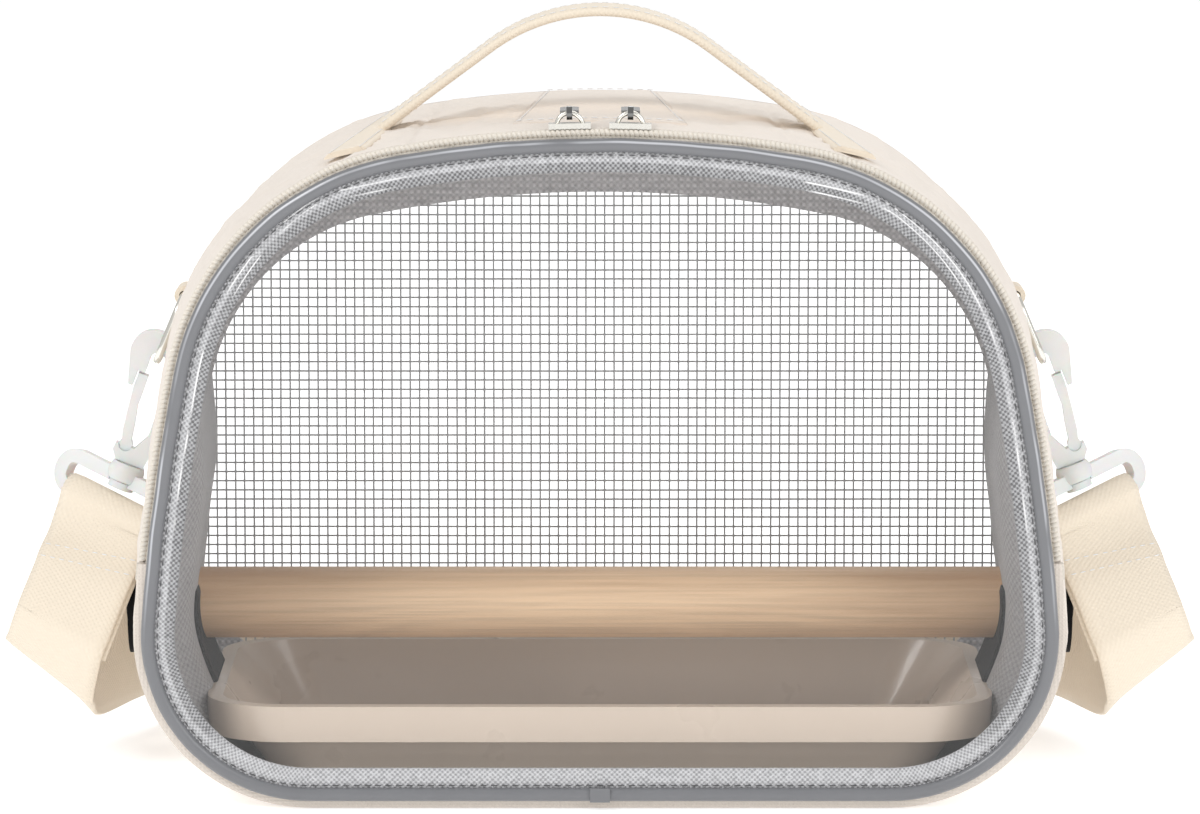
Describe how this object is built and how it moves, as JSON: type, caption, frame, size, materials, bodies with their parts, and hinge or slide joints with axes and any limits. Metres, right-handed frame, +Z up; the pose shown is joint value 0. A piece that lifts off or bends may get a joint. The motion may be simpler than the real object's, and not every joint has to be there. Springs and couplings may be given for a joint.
{
  "type": "bird travel carrier",
  "caption": "D-shaped fabric bird carrier: zipped clear fold-down front, mesh back, wooden perch, lift-out tray, webbing handle and clip-on strap.",
  "frame": {"origin": "middle of the base, on the surface that the carrier stands on, half-way between the front of the piping and the rear panel", "axes": "+Z up, the clear front faces -Y, +X to the right seen from the front"},
  "size_m": [0.3962, 0.1756, 0.2535],
  "materials": {
    "cream_fabric": "woven matte",
    "lining_fabric": "woven matte",
    "board": "matte",
    "wire_mesh": "satin",
    "binding": "woven mesh",
    "piping_vinyl": "satin vinyl",
    "clear_vinyl": "clear glossy sheet",
    "zip_nylon": "woven coil",
    "chrome": "polished",
    "pine": "sanded",
    "brass": "machined",
    "black_plastic": "matte",
    "tray_plastic": "satin",
    "webbing": "cotton webbing",
    "frosted_plastic": "frosted translucent"
  },
  "bodies": {
    "cabin": {"gusset_shell": "cream_fabric", "gusset_lining": "lining_fabric", "base_board": "board", "rear_panel": "cream_fabric", "rear_mesh": "wire_mesh", "rear_binding": "binding", "sill_piping": "piping_vinyl", "sill_binding": "binding", "sill_window": "clear_vinyl", "sill_seam": "cream_fabric", "piping_sleeve": "piping_vinyl", "gusset_zip_coil": "zip_nylon", "zip_stops": "zip_nylon", "perch": "pine", "perch_inserts": "brass", "wall_patches": "black_plastic", "handle_ends": "webbing", "top_patch": "cream_fabric", "d_ring_left": "chrome", "d_ring_right": "chrome", "ring_tabs": "webbing", "swivel_loop_left": "frosted_plastic", "swivel_loop_right": "frosted_plastic", "strap_webbing": "webbing"},
    "door": {"door_piping": "piping_vinyl", "door_binding": "binding", "door_window": "clear_vinyl", "door_zip_tape": "zip_nylon", "door_zip_coil": "zip_nylon"},
    "slider_left": {"zip_slider_left": "chrome"},
    "slider_right": {"zip_slider_right": "chrome"},
    "pull_left": {"zip_pull_left": "chrome"},
    "pull_right": {"zip_pull_right": "chrome"},
    "tray": {"tray": "tray_plastic"},
    "knob_left": {"perch_knob_left": "black_plastic"},
    "knob_right": {"perch_knob_right": "black_plastic"},
    "handle": {"handle": "webbing"},
    "hook_left": {"snap_hook_left": "frosted_plastic"},
    "hook_right": {"snap_hook_right": "frosted_plastic"},
    "gate_left": {"hook_gate_left": "frosted_plastic"},
    "gate_right": {"hook_gate_right": "frosted_plastic"},
    "adjuster": {"strap_adjuster": "frosted_plastic"}
  },
  "joints": [
    {"name": "door_fold", "type": "hinge", "parent": "cabin", "child": "door", "pos_m": [0, -0.08, 0.0795], "axis": [1, 0, 0], "range_deg": [0, 115]},
    {"name": "zip_run_left", "type": "hinge", "parent": "cabin", "child": "slider_left", "pos_m": [0, 0, -0.156], "axis": [0, -1, 0], "range_deg": [0, 7.43]},
    {"name": "zip_run_right", "type": "hinge", "parent": "cabin", "child": "slider_right", "pos_m": [0, 0, -0.156], "axis": [0, 1, 0], "range_deg": [0, 7.43]},
    {"name": "pull_swing_left", "type": "hinge", "parent": "slider_left", "child": "pull_left", "pos_m": [-0.00973, -0.07385, 0.22407], "axis": [0.9997, 0, 0.0256], "range_deg": [0, 100]},
    {"name": "pull_swing_right", "type": "hinge", "parent": "slider_right", "child": "pull_right", "pos_m": [0.00973, -0.07385, 0.22407], "axis": [0.9997, 0, -0.0256], "range_deg": [0, 100]},
    {"name": "tray_lift", "type": "slide", "parent": "cabin", "child": "tray", "axis": [0, 0, 1], "range_m": [0, 0.011]},
    {"name": "perch_screw_left", "type": "hinge", "parent": "cabin", "child": "knob_left", "pos_m": [-0.14, 0, 0.0547], "axis": [1, 0, 0], "continuous": true},
    {"name": "perch_screw_right", "type": "hinge", "parent": "cabin", "child": "knob_right", "pos_m": [0.14, 0, 0.0547], "axis": [1, 0, 0], "continuous": true},
    {"name": "handle_fold", "type": "hinge", "parent": "cabin", "child": "handle", "pos_m": [0, 0, 0.22242], "axis": [1, 0, 0], "range_deg": [-55, 55], "stiffness_Nm_per_rad": 0.01},
    {"name": "hook_swivel_left", "type": "hinge", "parent": "cabin", "child": "hook_left", "pos_m": [-0.1572, 0, 0.0983], "axis": [0.3616, 0, 0.9323], "range_deg": [-5, 5]},
    {"name": "hook_swivel_right", "type": "hinge", "parent": "cabin", "child": "hook_right", "pos_m": [0.1572, 0, 0.0983], "axis": [-0.3616, 0, 0.9323], "range_deg": [-5, 5]},
    {"name": "gate_left", "type": "hinge", "parent": "hook_left", "child": "gate_left", "pos_m": [-0.15712, 0, 0.10792], "axis": [0, 1, 0], "range_deg": [0, 9], "stiffness_Nm_per_rad": 0.02, "springref_deg": -5.73},
    {"name": "gate_right", "type": "hinge", "parent": "hook_right", "child": "gate_right", "pos_m": [0.15712, 0, 0.10792], "axis": [0, -1, 0], "range_deg": [0, 9], "stiffness_Nm_per_rad": 0.02, "springref_deg": -5.73},
    {"name": "strap_adjust", "type": "slide", "parent": "cabin", "child": "adjuster", "axis": [1, 0, 0], "range_m": [-0.12, 0.035]}
  ]
}
